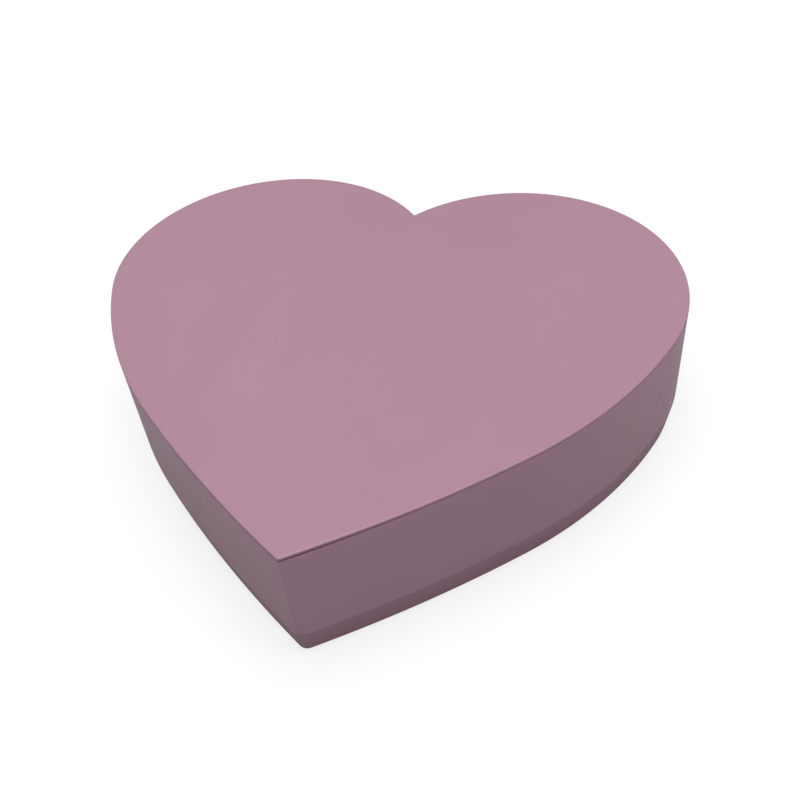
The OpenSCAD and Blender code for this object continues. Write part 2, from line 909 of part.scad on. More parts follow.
// Plate for the right-hand ends of the cylinder and idler arbors, and a post for the idler
module gear_frame() {
    color(brass) in_movement() difference() {
        union() {
            translate([frame_x, cyl_y - 3, bed_top]) cube([1, 14, cyl_z - bed_top + 2]);
            translate([frame_x, cyl_y - 3, bed_top]) cube([4.4, 14, 0.8]);
        }
        at_cylinder(frame_x - 1) cylinder(h = 3, r = arbor_r + run_fit);
        at_idler(frame_x - 1) cylinder(h = 3, r = idler_r + run_fit);
        at_frame_screws() translate([0, 0, -1]) cylinder(h = 3, r = 0.7);
    }
}

module at_frame_screws() {
    for (y = [cyl_y - 1, cyl_y + 9]) {
        translate([frame_x + 2.8, y, bed_top]) children();
    }
}

module frame_screws() {
    color(dark_steel) in_movement() at_frame_screws() translate([0, 0, 0.8])
        slot_screw(1.3, 0.9, 0.7, 0.8);
}

module idler_arbor() {
    color(steel) in_movement() at_idler(13.6) cylinder(h = frame_x + 1 - 13.6, r = idler_r);
}

module idler_pinion() {
    color(brass) in_movement() at_idler(cyl_gear_x - 0.2) difference() {
        linear_extrude(1.6) rotate(180 / pinion_n) gear_outline(pinion_n, 0.36, 0.14);
        translate([0, 0, -1]) cylinder(h = 5, r = idler_r);
    }
}

module worm_wheel() {
    color([0.92, 0.90, 0.84]) in_movement() at_idler(worm_x - 0.5) difference() {
        linear_extrude(1) gear_outline(worm_wheel_n, 0.26, 0.10);
        translate([0, 0, -1]) cylinder(h = 5, r = idler_r);
    }
}

module at_worm(z) {
    translate([worm_x, worm_y, z]) children();
}

// Single-start worm: an off-centre round section turned through one lead per tooth pitch
module worm() {
    lead = PI * gear_m;
    turns = worm_len / lead;
    core = (worm_crest + worm_root) / 2;
    throw = (worm_crest - worm_root) / 2;
    start = -90 - 180 + 360 * (worm_len / 2) / lead;
    color(steel) in_movement() at_worm(cyl_z - worm_len / 2)
        linear_extrude(worm_len, twist = 360 * turns, slices = 48)
            rotate(start) translate([throw, 0]) circle(core, $fn = 12);
}

// Upper and lower stubs of the fly's arbor
module fly_arbor() {
    color(steel) in_movement() {
        at_worm(bed_top + 0.4) cylinder(h = cyl_z - worm_len / 2 - bed_top - 0.4, r = fly_r);
        at_worm(cyl_z + worm_len / 2) cylinder(h = fly_top - cyl_z - worm_len / 2, r = fly_r);
    }
}

// Two air-brake blades and the disc that the stop rod presses on
module fly_fan() {
    blade_w = 4.4;
    color([0.20, 0.20, 0.22]) in_movement() difference() {
        union() {
            at_worm(fan_z) cylinder(h = fan_h, r = 1.1);
            at_worm(fan_z) translate([-blade_w, -0.2, 0]) cube([2 * blade_w, 0.4, fan_h]);
            at_worm(fan_z + fan_h - eps) cylinder(h = disc_t, r = disc_r);
        }
        at_worm(fan_z - 1) cylinder(h = 10, r = fly_r);
    }
}

// Strut outside the fan's sweep, with the arm that holds the fly's upper pivot
module fly_bridge() {
    strut_x = 23.7;
    color(brass) in_movement() difference() {
        union() {
            translate([strut_x, worm_y - 1.4, bed_top]) cube([0.9, 2.8, bridge_z - bed_top + 0.7]);
            translate([worm_x - 1.4, worm_y - 1.1, bridge_z]) cube([strut_x - worm_x + 2, 2.2, 0.7]);
            translate([strut_x - 4, worm_y - 1.4, bed_top]) cube([4.5, 2.8, 0.8]);
            at_worm(bed_top) cylinder(h = 0.8, r = 1.4);
        }
        at_worm(bed_top + 0.3) cylinder(h = 30, r = fly_r + run_fit);
        translate([strut_x - 1.7, worm_y, bed_top - 1]) cylinder(h = 3, r = 0.6);
    }
}

module bridge_screw() {
    color(dark_steel) in_movement() translate([22, worm_y, bed_top + 0.8])
        slot_screw(1, 0.7, 0.6, 0.8);
}

// Brake rod: the closed lid holds its felt tip down on the fly's disc
module stop_rod() {
    tip_z = fan_z + fan_h + disc_t + 0.1;
    top_z = lid_lining_z - 0.05 - base_top;
    color(brass) in_movement() translate([worm_x, worm_y + stop_offset, 0]) {
        translate([0, 0, tip_z]) cylinder(h = top_z - tip_z, r = 0.75);
        translate([0, 0, tip_z + 0.3]) cylinder(h = 0.4, r = 1.1);
    }
}

plinth_rim();
side_wall();
base_board();
base_screws();
long_divider();
cross_divider();
wall_lining();
floor_pad();
cover_blocks();
movement_cover();
cover_screws();
lid_rest_pads();
left_case_leaf();
right_case_leaf();
left_hinge_pin();
right_hinge_pin();
case_leaf_screws();
lid_panel();
lid_board();
lid_mirror();
lid_lining();
left_lid_leaf();
right_lid_leaf();
lid_leaf_screws();
key_plate();
winding_key();
winding_arbor();
ratchet_wheel();
great_wheel();
click_spring();
bedplate();
movement_screws();
spring_housing();
housing_screws();
mainspring();
comb();
comb_screws();
cylinder_sleeve();
cylinder_pins();
cylinder_arbor();
cylinder_pinion();
cylinder_gear();
bearing_post();
gear_frame();
frame_screws();
idler_arbor();
idler_pinion();
worm_wheel();
worm();
fly_arbor();
fly_fan();
fly_bridge();
bridge_screw();
stop_rod();
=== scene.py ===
"""Looks of the heart-shaped wind up music box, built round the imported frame.

Own pieces: lacquered lid, wall and plinth with softened edges, padded velvet floor, wall lining with
a rolled edge, padded lid lining, clear cover and felt dots. The other nodes keep their shapes and get
materials.
Outline measures are in millimetres in the outline's own frame, whose origin lies midway between the
lobes' centres, with +Y towards the notch. Pieces are built in metres in the model's frame.
"""

import math

import bmesh
import bpy
from mathutils import Matrix, Vector, geometry, kdtree, noise


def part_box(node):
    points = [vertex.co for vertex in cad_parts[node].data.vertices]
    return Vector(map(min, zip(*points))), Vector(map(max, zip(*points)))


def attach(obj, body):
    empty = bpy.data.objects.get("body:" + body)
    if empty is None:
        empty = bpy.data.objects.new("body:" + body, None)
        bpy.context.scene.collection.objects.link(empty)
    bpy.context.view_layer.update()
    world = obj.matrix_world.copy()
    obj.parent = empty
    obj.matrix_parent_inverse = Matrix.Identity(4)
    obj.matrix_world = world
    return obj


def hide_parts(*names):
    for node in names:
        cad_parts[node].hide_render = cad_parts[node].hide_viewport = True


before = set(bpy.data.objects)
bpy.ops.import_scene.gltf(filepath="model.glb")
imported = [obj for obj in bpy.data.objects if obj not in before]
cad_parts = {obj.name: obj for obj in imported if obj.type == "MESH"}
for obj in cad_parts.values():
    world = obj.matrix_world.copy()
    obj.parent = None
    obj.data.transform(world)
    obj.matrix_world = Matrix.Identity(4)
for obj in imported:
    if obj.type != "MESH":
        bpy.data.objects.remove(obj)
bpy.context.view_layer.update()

MM = 0.001

# Outline: three tangent arcs on each half, as in the model
LOBE_R = 50.0
LOBE_X = 37.9
SIDE_R = 127.5
FLANK_R = 431.5
SIDE_DIR = math.radians(20.6)
FLANK_DIR = math.radians(47.2)
LOBE_C = Vector((LOBE_X, 0.0))
SIDE_C = LOBE_C - (SIDE_R - LOBE_R) * Vector((math.cos(SIDE_DIR), -math.sin(SIDE_DIR)))
FLANK_C = SIDE_C - (FLANK_R - SIDE_R) * Vector((math.cos(FLANK_DIR), -math.sin(FLANK_DIR)))

# Points along each arc of half an outline, and the least radius of its tip
LOBE_STEPS = 84
SIDE_STEPS = 30
FLANK_STEPS = 34
TIP_STEPS = 8
SHARP_TIP = 0.12

# Point about which the lid's faces shrink into rings
STAR_CENTRE = Vector((0.0, -20.0))

# Mirror's opening: the outline at a smaller size, moved along Y and inset by the lining's lip
MIRROR_SHIFT = -4.5
MIRROR_SCALE = 0.77
MIRROR_TIP = 2.0
MIRROR_LIP = 2.0

# Measures the model shares with its own pieces
WALL_T = 5.0
PLINTH_TAPER = 1.3
PLINTH_W = 9.0
PLINTH_TIP = 4.0
LIP_INSET = 5.1
DIVIDER_X = 10.0
DIVIDER_Y = -39.0
LINING_T = 0.8
PAD_GAP = 1.2
LID_LINING_INSET = 6.3
REST_PAD_DIRS = (20.0, 38.0, 54.0)
HINGE_W = 16.0
HINGE_R = 1.5
LEAF_T = 0.7
LEAF_DROP = 8.0
HINGE_DROP = 3.0
BASE_SCREW_DIRS = (-75.0, 0.0, 36.0, 53.0)
BASE_SCREW_INSET = 1.5

# Tip radii of the lid and of the wall's top, and the height over which the wall's tip rounds off
LID_TIP = 0.9
WALL_TIP = 0.7
TIP_BLEND = 9.0

# How far the closed lid sinks into its felt, and the left side's share of that
SINK = 0.5
LEFT_SINK = 0.2

# Hair gaps under the clear cover and the box
COVER_GAP = 0.08
FLOOR_GAP = 0.1

# Camera: azimuth, elevation and roll in degrees, place in the outline's frame above the lid
CAMERA_TURN = (17.9213, 44.0457, -6.1877)
CAMERA_PLACE = (73.63, -231.18, 182.09)
CAMERA_LENS = 44.71


def heights(node):
    """Lowest and highest Z of a CAD node, in millimetres."""
    lo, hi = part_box(node)
    return lo.z / MM, hi.z / MM


# The lobes' centres in the model's frame: the wall's rearmost line is a lobe's radius behind them
SHIFT_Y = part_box("side_wall")[1].y / MM - LOBE_R


# ---------- Outline ----------


def tip_y(inset, size=1.0):
    """Y of the sharp tip of the outline drawn inset, at a given size."""
    reach = (size * FLANK_R - inset) ** 2 - (size * FLANK_C.x) ** 2
    return size * FLANK_C.y - math.sqrt(reach)


TIP_Y = tip_y(0.0)


def arc(centre, radius, start, end, steps):
    """Points of an arc without its end point."""
    turn = (end - start) / steps
    return [
        centre + radius * Vector((math.cos(start + turn * i), math.sin(start + turn * i)))
        for i in range(steps)
    ]


def right_half(inset, tip, size=1.0):
    """Right half of the outline, from the notch to the middle of the tip."""
    lobe, side, flank = (size * c for c in (LOBE_C, SIDE_C, FLANK_C))
    radius = size * LOBE_R - inset
    notch = math.pi - math.acos(lobe.x / radius)
    tip = max(tip - inset, SHARP_TIP)
    tip_c = Vector((0.0, tip_y(inset + tip, size)))
    touch = math.atan2(tip_c.y - flank.y, tip_c.x - flank.x)
    points = arc(lobe, radius, notch, -SIDE_DIR, LOBE_STEPS)
    points += arc(side, size * SIDE_R - inset, -SIDE_DIR, -FLANK_DIR, SIDE_STEPS)
    points += arc(flank, size * FLANK_R - inset, -FLANK_DIR, touch, FLANK_STEPS)
    points += arc(tip_c, tip, touch, -math.pi / 2, TIP_STEPS)
    points.append(tip_c - Vector((0.0, tip)))
    return points


def outline(inset, tip=0.0, size=1.0):
    """Closed clockwise outline, from the notch round by the right side."""
    right = right_half(inset, tip, size)
    left = [Vector((-p.x, p.y)) for p in reversed(right[1:-1])]
    return right + left


def rim_point(degrees, inset):
    """Point of the right half in a given direction below the X axis."""
    angle = math.radians(degrees)
    toward = Vector((math.cos(angle), -math.sin(angle)))
    if angle < SIDE_DIR:
        return LOBE_C + (LOBE_R - inset) * toward
    if angle < FLANK_DIR:
        return SIDE_C + (SIDE_R - inset) * toward
    return FLANK_C + (FLANK_R - inset) * toward


def compartment(inset):
    """Jewellery compartment's plan: the heart without the corner that holds the movement."""
    x_max, y_min = DIVIDER_X - inset, DIVIDER_Y - inset

    def outside(p):
        return p.x > x_max and p.y > y_min

    points = outline(WALL_T + inset)
    kept = []
    last = points[-1]
    for point in points:
        if outside(point) and not outside(last):
            share = (x_max - last.x) / (point.x - last.x)
            kept += [last.lerp(point, share), Vector((x_max, y_min))]
        if outside(last) and not outside(point):
            kept.append(last.lerp(point, (y_min - last.y) / (point.y - last.y)))
        if not outside(point):
            kept.append(point)
        last = point
    return kept


def spaced(points, step):
    """The same closed path with points at even, short steps."""
    path = []
    for i, point in enumerate(points):
        last = points[i - 1]
        parts = max(1, math.ceil((point - last).length / step))
        path += [last.lerp(point, (k + 1) / parts) for k in range(parts)]
    return path


def inward(points):
    """For each point of a clockwise path, the mitred step that lies one millimetre inside it."""
    steps = []
    for i, point in enumerate(points):
        before = (point - points[i - 1]).normalized()
        after = (points[(i + 1) % len(points)] - point).normalized()
        side = Vector((before.y, -before.x)) + Vector((after.y, -after.x))
        steps.append(side * 2.0 / max(side.length_squared, 1.0))
    return steps


# ---------- Mesh making ----------


def to_model(x, y, z):
    """Outline frame in millimetres to the model's frame in metres."""
    return Vector((x * MM, (y + SHIFT_Y) * MM, z * MM))


def smooth(bm, sharp):
    """Shades a mesh smooth, except along edges sharper than an angle in degrees."""
    limit = math.radians(sharp)
    for face in bm.faces:
        face.smooth = True
    for edge in bm.edges:
        edge.smooth = edge.is_manifold and edge.calc_face_angle(0.0) < limit


def new_object(name, bm, sharp=35.0):
    """Object from a bmesh, smooth except along edges sharper than an angle in degrees."""
    bmesh.ops.recalc_face_normals(bm, faces=bm.faces)
    smooth(bm, sharp)
    mesh = bpy.data.meshes.new(name)
    bm.to_mesh(mesh)
    bm.free()
    piece = bpy.data.objects.new(name, mesh)
    bpy.context.scene.collection.objects.link(piece)
    return piece


def add_ring(bm, points):
    return [bm.verts.new(p) for p in points]


def bridge(bm, low, high):
    """Quads between two rings with the same number of points."""
    count = len(low)
    for i in range(count):
        j = (i + 1) % count
        bm.faces.new((low[i], low[j], high[j], high[i]))


def fan(bm, ring, centre):
    middle = bm.verts.new(centre)
    count = len(ring)
    for i in range(count):
        bm.faces.new((ring[i], ring[(i + 1) % count], middle))


def quarter(inset, z, radius, start, steps=5):
    """Profile points of a rounded edge: a quarter turn about (inset, z), from start degrees."""
    turn = math.radians(90.0 / steps)
    first = math.radians(start)
    return [
        (inset + radius * math.cos(first + turn * i), z + radius * math.sin(first + turn * i))
        for i in range(steps + 1)
    ]


def loft(bm, profile, tip, shape=None):
    """Rings that follow a profile of (inset, z) points, bridged in order; tip is a function of Z."""
    shape = shape or (lambda x, y, z: z)
    rings = []
    for inset, z in profile:
        points = [to_model(p.x, p.y, shape(p.x, p.y, z)) for p in outline(inset, tip(z))]
        rings.append(add_ring(bm, points))
    for low, high in zip(rings, rings[1:]):
        bridge(bm, low, high)
    return rings


def cap(bm, ring, inset, tip, z, shape=None, sizes=(0.96, 0.88, 0.78, 0.66, 0.52, 0.36, 0.18)):
    """Closes a ring with smaller rings about the outline's inner point and a fan."""
    shape = shape or (lambda x, y, z: z)
    edge = outline(inset, tip)
    for size in sizes:
        points = [STAR_CENTRE + (p - STAR_CENTRE) * size for p in edge]
        inner = add_ring(bm, [to_model(p.x, p.y, shape(p.x, p.y, z)) for p in points])
        bridge(bm, ring, inner)
        ring = inner
    x, y = STAR_CENTRE
    fan(bm, ring, to_model(x, y, shape(x, y, z)))


def cut(piece, cutter_bm, sharp=35.0):
    """Takes a cutter away from a piece and sets its sharp edges again."""
    cutter = new_object("cutter", cutter_bm)
    step = piece.modifiers.new("cut", "BOOLEAN")
    step.operation = "DIFFERENCE"
    step.solver = "EXACT"
    step.object = cutter
    graph = bpy.context.evaluated_depsgraph_get()
    made = bpy.data.meshes.new_from_object(piece.evaluated_get(graph))
    piece.modifiers.remove(step)
    old = piece.data
    piece.data = made
    bpy.data.meshes.remove(old)
    made.name = piece.name
    bpy.data.objects.remove(cutter)
    bm = bmesh.new()
    bm.from_mesh(made)
    bmesh.ops.dissolve_degenerate(bm, edges=bm.edges, dist=1e-7)
    smooth(bm, sharp)
    bm.to_mesh(made)
    bm.free()


# ---------- Node helpers ----------


class Nodes:
    """Short calls for building one material's node tree."""

    def __init__(self, name):
        self.material = bpy.data.materials.new(name)
        self.material.use_nodes = True
        self.tree = self.material.node_tree
        self.tree.nodes.clear()
        self.shader = self.tree.nodes.new("ShaderNodeBsdfPrincipled")
        output = self.tree.nodes.new("ShaderNodeOutputMaterial")
        self.tree.links.new(self.shader.outputs["BSDF"], output.inputs["Surface"])
        self.place = self.tree.nodes.new("ShaderNodeTexCoord").outputs["Object"]

    def link(self, source, target):
        self.tree.links.new(source, target)

    def put(self, socket, value):
        if isinstance(value, bpy.types.NodeSocket):
            self.link(value, socket)
        else:
            socket.default_value = value

    def set(self, **values):
        """Numbers and colours that are the same all over the surface."""
        for key, value in values.items():
            self.shader.inputs[key.replace("_", " ")].default_value = value

    def scaled(self, vector, scale, turn=(0.0, 0.0, 0.0)):
        node = self.tree.nodes.new("ShaderNodeMapping")
        self.link(vector, node.inputs["Vector"])
        node.inputs["Scale"].default_value = scale
        node.inputs["Rotation"].default_value = turn
        return node.outputs["Vector"]

    def noise(self, scale, detail=2.0, rough=0.5, vector=None, warp=0.0):
        node = self.tree.nodes.new("ShaderNodeTexNoise")
        self.link(vector or self.place, node.inputs["Vector"])
        node.inputs["Scale"].default_value = scale
        node.inputs["Detail"].default_value = detail
        node.inputs["Roughness"].default_value = rough
        node.inputs["Distortion"].default_value = warp
        return node.outputs["Fac"]

    def span(self, value, low, high, to_low=0.0, to_high=1.0):
        node = self.tree.nodes.new("ShaderNodeMapRange")
        self.link(value, node.inputs["Value"])
        node.inputs["From Min"].default_value = low
        node.inputs["From Max"].default_value = high
        node.inputs["To Min"].default_value = to_low
        node.inputs["To Max"].default_value = to_high
        return node.outputs["Result"]

    def math(self, kind, a, b=0.0):
        node = self.tree.nodes.new("ShaderNodeMath")
        node.operation = kind
        self.put(node.inputs[0], a)
        self.put(node.inputs[1], b)
        return node.outputs["Value"]

    def axis(self, name):
        node = self.tree.nodes.new("ShaderNodeSeparateXYZ")
        self.link(self.place, node.inputs["Vector"])
        return node.outputs[name]

    def mix(self, share, a, b):
        node = self.tree.nodes.new("ShaderNodeMix")
        node.data_type = "RGBA"
        self.put(node.inputs[0], share)
        self.put(node.inputs[6], a)
        self.put(node.inputs[7], b)
        return node.outputs[2]

    def colour(self, value):
        self.link(value, self.shader.inputs["Base Color"])

    def roughness(self, value):
        self.link(value, self.shader.inputs["Roughness"])

    def bump(self, height, distance, strength=1.0):
        """Bump of a given depth in millimetres."""
        node = self.tree.nodes.new("ShaderNodeBump")
        self.link(height, node.inputs["Height"])
        node.inputs["Distance"].default_value = distance * MM
        node.inputs["Strength"].default_value = strength
        self.link(node.outputs["Normal"], self.shader.inputs["Normal"])

    def spot(self, x, y, reach, soft):
        """1 near a vertical line through a point in the model's plan, fading to 0 beyond reach."""
        dx = self.math("SUBTRACT", self.axis("X"), x * MM)
        dy = self.math("SUBTRACT", self.axis("Y"), (y + SHIFT_Y) * MM)
        squares = self.math("ADD", self.math("MULTIPLY", dx, dx), self.math("MULTIPLY", dy, dy))
        away = self.math("SQRT", squares)
        return self.span(away, reach * MM, (reach + soft) * MM, 1.0, 0.0)


def rgba(hexcode):
    """Linear colour of an sRGB hex code."""
    values = [int(hexcode[i : i + 2], 16) / 255.0 for i in (0, 2, 4)]
    linear = [v / 12.92 if v <= 0.04045 else ((v + 0.055) / 1.055) ** 2.4 for v in values]
    return (*linear, 1.0)


# ---------- Materials ----------


def lacquer(name, light, dark, worn=False):
    """Satin lacquer sprayed over fibreboard: faint clouding, orange peel and a thin coat."""
    n = Nodes(name)
    cloud = n.span(n.noise(14.0, 3.0, 0.55), 0.35, 0.65)
    tone = n.mix(cloud, light, dark)
    specks = n.span(n.noise(900.0, 2.0, 0.6), 0.68, 0.78)
    tone = n.mix(n.math("MULTIPLY", specks, 0.10), tone, rgba("7a5a68"))
    rough = n.span(n.noise(60.0, 3.0, 0.6), 0.3, 0.7, 0.40, 0.48)
    if worn:
        patch = n.spot(-34.0, -42.0, 10.0, 22.0)
        streak = n.noise(90.0, 4.0, 0.65, n.scaled(n.place, (1.0, 0.22, 1.0), (0.0, 0.0, 0.7)), 0.6)
        rub = n.math("MULTIPLY", patch, n.span(streak, 0.52, 0.68))
        tone = n.mix(n.math("MULTIPLY", rub, 0.07), tone, rgba("cdb4c0"))
        rough = n.math("ADD", rough, n.math("MULTIPLY", rub, 0.10))
    n.colour(tone)
    n.roughness(rough)
    peel = n.math("ADD", n.noise(420.0, 2.0, 0.5), n.math("MULTIPLY", n.noise(95.0, 2.0, 0.5), 0.8))
    n.bump(peel, 0.02, 0.35)
    n.set(Specular_IOR_Level=0.5, Coat_Weight=0.30, Coat_Roughness=0.26, Coat_IOR=1.5)
    return n.material


def wood(name, light, dark, rough=0.62):
    """Plain sawn board with long grain along X."""
    n = Nodes(name)
    long_grain = n.scaled(n.place, (0.12, 1.0, 1.0))
    bands = n.noise(70.0, 4.0, 0.6, long_grain, 0.8)
    pores = n.noise(900.0, 3.0, 0.7, long_grain)
    tone = n.mix(n.span(bands, 0.35, 0.65), light, dark)
    tone = n.mix(n.math("MULTIPLY", n.span(pores, 0.55, 0.72), 0.35), tone, rgba("6b4a30"))
    n.colour(tone)
    n.roughness(n.span(bands, 0.3, 0.7, rough - 0.06, rough + 0.08))
    n.bump(n.math("ADD", pores, n.math("MULTIPLY", bands, 0.6)), 0.06, 0.5)
    return n.material


def velvet(name, light, dark, pile=1500.0, sheen=0.7):
    """Short pile that is brushed in soft patches."""
    n = Nodes(name)
    brushed = n.noise(38.0, 3.0, 0.6, None, 1.2)
    fibre = n.noise(pile, 3.0, 0.7)
    tone = n.mix(n.span(brushed, 0.38, 0.64), light, dark)
    tone = n.mix(n.math("MULTIPLY", n.span(fibre, 0.35, 0.7), 0.30), tone, dark)
    n.colour(tone)
    n.roughness(n.span(fibre, 0.3, 0.7, 0.85, 1.0))
    n.bump(n.math("ADD", fibre, n.math("MULTIPLY", brushed, 1.5)), 0.12, 0.6)
    n.set(Sheen_Weight=sheen, Sheen_Roughness=0.35, Specular_IOR_Level=0.2)
    return n.material


def metal(name, light, dark, rough, scratch=(1.0, 1.0, 1.0), scale=900.0, stain=0.5, depth=0.01):
    """Machined or rolled metal: fine scratches in one direction and a patchy film."""
    n = Nodes(name)
    lines = n.noise(scale, 3.0, 0.6, n.scaled(n.place, scratch))
    film = n.span(n.noise(150.0, 3.0, 0.6), 0.4, 0.68)
    n.colour(n.mix(n.math("MULTIPLY", film, stain), light, dark))
    brushed = n.span(lines, 0.3, 0.7, rough - 0.07, rough + 0.07)
    n.roughness(n.math("ADD", brushed, n.math("MULTIPLY", film, 0.06)))
    n.bump(lines, depth, 0.5)
    n.set(Metallic=1.0)
    return n.material


def cast_metal(name, light, dark):
    """Die-cast plate with a fine grain and plating worn at random."""
    n = Nodes(name)
    grain = n.noise(1100.0, 3.0, 0.65)
    wear = n.span(n.noise(120.0, 4.0, 0.6), 0.45, 0.62)
    n.colour(n.mix(wear, light, dark))
    n.roughness(n.span(grain, 0.3, 0.7, 0.38, 0.52))
    n.bump(grain, 0.05, 0.6)
    n.set(Metallic=1.0)
    return n.material


def mirror_glass(name):
    n = Nodes(name)
    dust = n.span(n.noise(700.0, 4.0, 0.7), 0.6, 0.75)
    n.colour(n.mix(n.math("MULTIPLY", dust, 0.2), rgba("f1f4f5"), rgba("c9cfd2")))
    n.roughness(n.span(dust, 0.0, 1.0, 0.02, 0.12))
    n.set(Metallic=1.0)
    return n.material


def clear_sheet(name):
    """Clear acrylic with hairline scratches."""
    n = Nodes(name)
    hair = n.noise(240.0, 4.0, 0.7, n.scaled(n.place, (1.0, 0.08, 1.0), (0.0, 0.0, 0.5)))
    n.colour(n.mix(n.span(hair, 0.5, 0.8), rgba("fbfdfd"), rgba("eef4f5")))
    n.roughness(n.span(hair, 0.55, 0.75, 0.03, 0.16))
    n.set(Transmission_Weight=0.96, IOR=1.49)
    return n.material


def plastic(name, light, dark, rough):
    """Moulded plastic with a faint satin texture."""
    n = Nodes(name)
    flow = n.noise(130.0, 2.0, 0.5, None, 0.8)
    fine = n.noise(1400.0, 2.0, 0.6)
    n.colour(n.mix(n.span(flow, 0.35, 0.65), light, dark))
    n.roughness(n.span(fine, 0.3, 0.7, rough - 0.05, rough + 0.06))
    n.bump(fine, 0.02, 0.4)
    n.set(IOR=1.5)
    return n.material


def felt(name, light, dark):
    n = Nodes(name)
    fibre = n.noise(1300.0, 4.0, 0.75, n.scaled(n.place, (1.0, 0.35, 1.0), (0.0, 0.0, 0.6)))
    n.colour(n.mix(n.span(fibre, 0.3, 0.7), light, dark))
    n.roughness(n.span(fibre, 0.3, 0.7, 0.88, 1.0))
    n.bump(fibre, 0.15, 0.7)
    n.set(Sheen_Weight=0.4, Sheen_Roughness=0.5, Specular_IOR_Level=0.15)
    return n.material


TURNED_X = (25.0, 1.0, 1.0)
ROLLED_X = (0.04, 1.0, 1.0)

FINISHES = {
    "lid_lacquer": lacquer("lid_lacquer", rgba("b28699"), rgba("ae8396"), True),
    "wall_lacquer": lacquer("wall_lacquer", rgba("b0879a"), rgba("ac8497")),
    # The plinth's lacquer is a darker, redder copy of the wall's: painted shade for the downward-facing
    # foot near the floor, not a different paint.
    "plinth_lacquer": lacquer("plinth_lacquer", rgba("a4798c"), rgba("a07589")),
    "bare_wood": wood("bare_wood", rgba("d8b487"), rgba("c49a6a")),
    "lined_board": velvet("lined_board", rgba("efe3de"), rgba("dccbc6")),
    "velvet_lining": velvet("velvet_lining", rgba("efe3de"), rgba("dccbc6")),
    "velvet_pad": velvet("velvet_pad", rgba("efe3de"), rgba("dccbc6")),
    "felt": felt("felt", rgba("d9b9c4"), rgba("bf98a6")),
    "clear_cover": clear_sheet("clear_cover"),
    "mirror": mirror_glass("mirror"),
    "hinge_brass": metal("hinge_brass", rgba("e0b765"), rgba("b98a3e"), 0.26, ROLLED_X),
    "key_brass": metal("key_brass", rgba("e3bd70"), rgba("b78b44"), 0.30, (1.0, 1.0, 0.05)),
    "brass_fasteners": metal("brass_fasteners", rgba("dfb766"), rgba("a97f3a"), 0.24),
    "gear_brass": metal("gear_brass", rgba("e2bc6c"), rgba("c39a4f"), 0.22, (1.0, 0.05, 1.0)),
    "cylinder_brass": metal("cylinder_brass", rgba("e6c274"), rgba("cda357"), 0.20, TURNED_X),
    "cast_bedplate": cast_metal("cast_bedplate", rgba("cda356"), rgba("b58a47")),
    "nickel": metal("nickel", rgba("cfccc4"), rgba("aca79c"), 0.20, (1.0, 1.0, 12.0)),
    "steel": metal("steel", rgba("c3c5c8"), rgba("9da0a5"), 0.24, ROLLED_X),
    "comb_steel": metal("comb_steel", rgba("c9cbce"), rgba("a9acb1"), 0.18, (1.0, 0.04, 1.0)),
    "blued_steel": metal("blued_steel", rgba("3b4a72"), rgba("2c3350"), 0.24),
    "white_nylon": plastic("white_nylon", rgba("efece2"), rgba("e2ddd0"), 0.40),
    "fan_plastic": plastic("fan_plastic", rgba("4a4a4c"), rgba("3e3e41"), 0.35),
}


def finish_nodes():
    """Gives every CAD node the made material of its own slot."""
    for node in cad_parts.values():
        for place in node.material_slots:
            place.material = FINISHES[place.material.name.split(".")[0]]


def dressed(piece, slot, body):
    """Material, slot and body of one of the script's own pieces."""
    piece.data.materials.clear()
    piece.data.materials.append(FINISHES[slot])
    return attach(piece, body)


# ---------- Case ----------


def wall_tip(z):
    """Radius of the wall's vertical edge: crisp at the top, easing into the plinth's round tip."""
    foot = heights("side_wall")[0]
    share = min(max((z - foot) / TIP_BLEND, 0.0), 1.0)
    share = share * share * (3.0 - 2.0 * share)
    return PLINTH_TIP + (WALL_TIP - PLINTH_TIP) * share


def wall_shell():
    """Lacquered wall with softened arrises, pocketed for the hinges."""
    z0, z1 = heights("side_wall")
    foot, arris, inner = 0.15, 0.4, 0.3
    profile = [(WALL_T, z0 + inner), (WALL_T - inner, z0), (foot, z0), (0.0, z0 + foot)]
    profile += [(0.0, z0 + TIP_BLEND * i / 8) for i in range(1, 9)]
    profile += [(0.0, z0 + 16.0), (0.0, z0 + 22.0)]
    profile += reversed(quarter(arris, z1 - arris, arris, 90.0))
    profile += [(WALL_T - inner, z1), (WALL_T, z1 - inner)]
    bm = bmesh.new()
    rings = loft(bm, profile, wall_tip)
    bridge(bm, rings[-1], rings[0])
    piece = new_object("wall_shell", bm)
    for x in (-LOBE_X, LOBE_X):
        cut(piece, hinge_pocket(x))
    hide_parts("side_wall")
    return dressed(piece, "wall_lacquer", "case")


def hinge_pocket(x):
    """One cutter of three stacked boxes, joined so that they don't cross each other."""
    lid_top = heights("lid_panel")[1]
    wall_top = heights("side_wall")[1]
    hinge_z = lid_top - HINGE_DROP
    half = HINGE_W / 2 + 0.3
    leaf_low = hinge_z - LEAF_DROP - 0.2
    barrel_low = hinge_z - HINGE_R - 0.3
    leaf_y = LOBE_R - LEAF_T
    barrel_y = leaf_y - 0.3
    plate_y = LOBE_R - WALL_T - 1.0
    back = LOBE_R + 4.0
    top = lid_top + 3.0
    side = [
        (back, leaf_low), (leaf_y, leaf_low), (leaf_y, barrel_low), (barrel_y, barrel_low),
        (barrel_y, wall_top - 0.3), (plate_y, wall_top - 0.3), (plate_y, top), (back, top),
    ]
    bm = bmesh.new()
    ends = [[bm.verts.new(to_model(x + dx, y, z)) for y, z in side] for dx in (-half, half)]
    bridge(bm, ends[0], ends[1])
    bm.faces.new(ends[0])
    bm.faces.new(list(reversed(ends[1])))
    return bm


